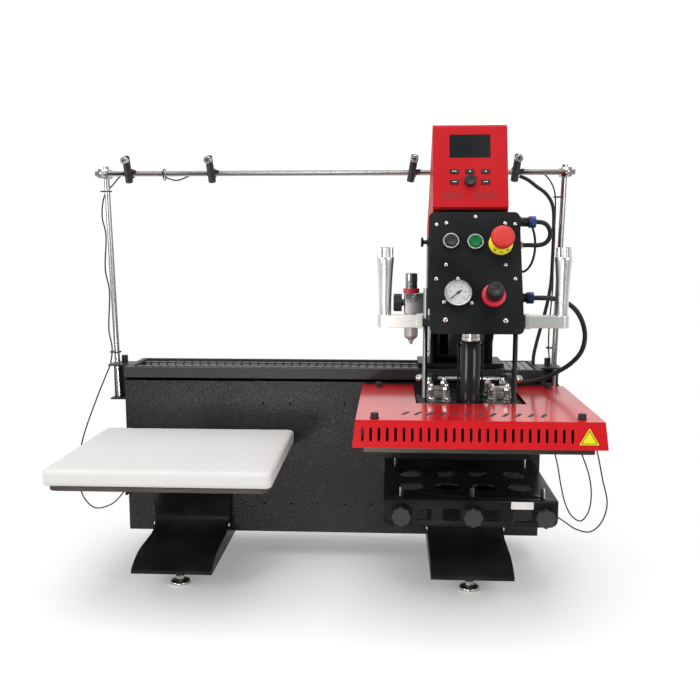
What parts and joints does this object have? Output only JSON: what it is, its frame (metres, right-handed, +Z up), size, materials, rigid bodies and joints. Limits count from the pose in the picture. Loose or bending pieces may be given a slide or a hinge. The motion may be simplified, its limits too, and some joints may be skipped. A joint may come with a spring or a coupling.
{
  "type": "shuttle heat press",
  "caption": "Pneumatic flat-bed heat press whose head and hot plate shuttle on a long base between a padded station and a bare one, with a laser positioning gantry.",
  "frame": {"origin": "middle of the footprint on the floor, under the levelling feet", "axes": "+X to the operator's right along the base, +Y away from the operator, +Z up"},
  "size_m": [1.5255, 0.65, 1.152],
  "materials": {
    "black_coat": "hammered powder coat",
    "satin_black": "satin powder coat",
    "red_coat": "smooth gloss powder coat",
    "aluminium": "satin machined",
    "chrome": "polished",
    "white_foam": "smooth foam-backed cover",
    "brown_board": "painted board",
    "black_plastic": "moulded",
    "red_plastic": "moulded",
    "green_plastic": "moulded",
    "black_rubber": "matt jacket"
  },
  "bodies": {
    "base": {"base_frame": "black_coat", "front_panel": "black_coat", "top_tray": "black_coat", "rail_bed": "aluminium", "leg_left": "satin_black", "leg_right": "satin_black", "support_left": "satin_black", "pad_board": "brown_board", "pad": "white_foam", "support_right": "satin_black", "pole_bracket_left": "black_coat", "pole_bracket_right": "black_coat", "pole_left": "chrome", "pole_right": "chrome", "laser_bar": "chrome", "laser_wire_left": "black_rubber", "laser_wire_right": "black_rubber", "laser_wire_right_2": "black_rubber", "pole_cable": "black_rubber"},
    "carriage": {"carriage_plate": "satin_black", "head_frame": "satin_black", "air_cylinder": "aluminium", "hood": "red_coat", "control_panel": "satin_black", "filter_unit": "aluminium", "handle_left": "aluminium", "handle_right": "aluminium", "hose_upper": "black_rubber", "hose_small": "black_rubber", "hose_feed": "black_rubber"},
    "head": {"ram": "satin_black", "head_plate": "satin_black", "heat_cover": "red_coat", "platen": "aluminium", "pivot_shaft": "chrome"},
    "levelling_foot_1": {"levelling_foot_1": "chrome"},
    "levelling_foot_2": {"levelling_foot_2": "chrome"},
    "levelling_foot_3": {"levelling_foot_3": "chrome"},
    "levelling_foot_4": {"levelling_foot_4": "chrome"},
    "star_knob_1": {"star_knob_1": "black_plastic"},
    "star_knob_2": {"star_knob_2": "black_plastic"},
    "star_knob_3": {"star_knob_3": "black_plastic"},
    "laser_1": {"laser_1": "black_plastic"},
    "laser_2": {"laser_2": "black_plastic"},
    "laser_3": {"laser_3": "black_plastic"},
    "laser_4": {"laser_4": "black_plastic"},
    "encoder_knob": {"encoder_knob": "black_plastic"},
    "key_1": {"key_1": "black_plastic"},
    "key_2": {"key_2": "black_plastic"},
    "key_3": {"key_3": "black_plastic"},
    "key_4": {"key_4": "black_plastic"},
    "key_5": {"key_5": "black_plastic"},
    "estop_button": {"estop_button": "red_plastic"},
    "stop_button": {"stop_button": "black_plastic"},
    "start_button": {"start_button": "green_plastic"},
    "gauge_needle": {"gauge_needle": "black_plastic"},
    "regulator_knob": {"regulator_knob": "black_plastic"},
    "filter_knob": {"filter_knob": "black_plastic"},
    "thumb_left": {"thumb_left": "aluminium"},
    "thumb_right": {"thumb_right": "aluminium"}
  },
  "joints": [
    {"name": "carriage_slide", "type": "slide", "parent": "base", "child": "carriage", "axis": [1, 0, 0], "range_m": [-0.705, 0]},
    {"name": "head_press", "type": "slide", "parent": "carriage", "child": "head", "axis": [0, 0, -1], "range_m": [0, 0.045], "stiffness_N_per_m": 5000, "springref_m": -0.12, "deforming": ["hose_feed"]},
    {"name": "foot_1_turn", "type": "hinge", "parent": "base", "child": "levelling_foot_1", "pos_m": [-0.374, -0.053, 0.02], "axis": [0, 0, 1], "continuous": true},
    {"name": "foot_2_turn", "type": "hinge", "parent": "base", "child": "levelling_foot_2", "pos_m": [-0.374, 0.285, 0.02], "axis": [0, 0, 1], "continuous": true},
    {"name": "foot_3_turn", "type": "hinge", "parent": "base", "child": "levelling_foot_3", "pos_m": [0.364, -0.053, 0.02], "axis": [0, 0, 1], "continuous": true},
    {"name": "foot_4_turn", "type": "hinge", "parent": "base", "child": "levelling_foot_4", "pos_m": [0.364, 0.285, 0.02], "axis": [0, 0, 1], "continuous": true},
    {"name": "star_1_turn", "type": "hinge", "parent": "base", "child": "star_knob_1", "pos_m": [0.1885, -0.22, 0.247], "axis": [0, 1, 0], "continuous": true},
    {"name": "star_2_turn", "type": "hinge", "parent": "base", "child": "star_knob_2", "pos_m": [0.3525, -0.22, 0.247], "axis": [0, 1, 0], "continuous": true},
    {"name": "star_3_turn", "type": "hinge", "parent": "base", "child": "star_knob_3", "pos_m": [0.5165, -0.22, 0.247], "axis": [0, 1, 0], "continuous": true},
    {"name": "laser_1_tilt", "type": "hinge", "parent": "base", "child": "laser_1", "pos_m": [-0.551, 0.212, 1.054], "axis": [1, 0, 0], "range_deg": [-30, 30]},
    {"name": "laser_2_tilt", "type": "hinge", "parent": "base", "child": "laser_2", "pos_m": [-0.325, 0.212, 1.054], "axis": [1, 0, 0], "range_deg": [-30, 30]},
    {"name": "laser_3_tilt", "type": "hinge", "parent": "base", "child": "laser_3", "pos_m": [0.217, 0.212, 1.054], "axis": [1, 0, 0], "range_deg": [-30, 30]},
    {"name": "laser_4_tilt", "type": "hinge", "parent": "base", "child": "laser_4", "pos_m": [0.49, 0.212, 1.054], "axis": [1, 0, 0], "range_deg": [-30, 30]},
    {"name": "encoder_turn", "type": "hinge", "parent": "carriage", "child": "encoder_knob", "pos_m": [0.35, -0.02134, 1.01418], "axis": [0, -0.9568, 0.2907], "continuous": true},
    {"name": "key_1_press", "type": "slide", "parent": "carriage", "child": "key_1", "axis": [0, 0.9568, -0.2907], "range_m": [0, 0.0012], "stiffness_N_per_m": 400, "springref_m": -0.001},
    {"name": "key_2_press", "type": "slide", "parent": "carriage", "child": "key_2", "axis": [0, 0.9568, -0.2907], "range_m": [0, 0.0012], "stiffness_N_per_m": 400, "springref_m": -0.001},
    {"name": "key_3_press", "type": "slide", "parent": "carriage", "child": "key_3", "axis": [0, 0.9568, -0.2907], "range_m": [0, 0.0012], "stiffness_N_per_m": 400, "springref_m": -0.001},
    {"name": "key_4_press", "type": "slide", "parent": "carriage", "child": "key_4", "axis": [0, 0.9568, -0.2907], "range_m": [0, 0.0012], "stiffness_N_per_m": 400, "springref_m": -0.001},
    {"name": "key_5_press", "type": "slide", "parent": "carriage", "child": "key_5", "axis": [0, 0.9568, -0.2907], "range_m": [0, 0.0012], "stiffness_N_per_m": 400, "springref_m": -0.001},
    {"name": "estop_press", "type": "slide", "parent": "carriage", "child": "estop_button", "axis": [0, 0.9171, -0.3987], "range_m": [0, 0.004]},
    {"name": "stop_press", "type": "slide", "parent": "carriage", "child": "stop_button", "axis": [0, 0.9171, -0.3987], "range_m": [0, 0.003], "stiffness_N_per_m": 500, "springref_m": -0.001},
    {"name": "start_press", "type": "slide", "parent": "carriage", "child": "start_button", "axis": [0, 0.9171, -0.3987], "range_m": [0, 0.003], "stiffness_N_per_m": 500, "springref_m": -0.001},
    {"name": "needle_swing", "type": "hinge", "parent": "carriage", "child": "gauge_needle", "pos_m": [0.315, -0.15233, 0.75064], "axis": [0, -0.9171, 0.3987], "range_deg": [-270, 0]},
    {"name": "regulator_turn", "type": "hinge", "parent": "carriage", "child": "regulator_knob", "pos_m": [0.3965, -0.15353, 0.74789], "axis": [0, -0.9171, 0.3987], "continuous": true},
    {"name": "filter_knob_turn", "type": "hinge", "parent": "carriage", "child": "filter_knob", "pos_m": [0.18, 0.1, 0.713], "axis": [1, 0, 0], "continuous": true},
    {"name": "thumb_left_press", "type": "slide", "parent": "carriage", "child": "thumb_left", "axis": [0, 0, -1], "range_m": [0, 0.0035], "stiffness_N_per_m": 700, "springref_m": -0.002},
    {"name": "thumb_right_press", "type": "slide", "parent": "carriage", "child": "thumb_right", "axis": [0, 0, -1], "range_m": [0, 0.0035], "stiffness_N_per_m": 700, "springref_m": -0.002}
  ]
}
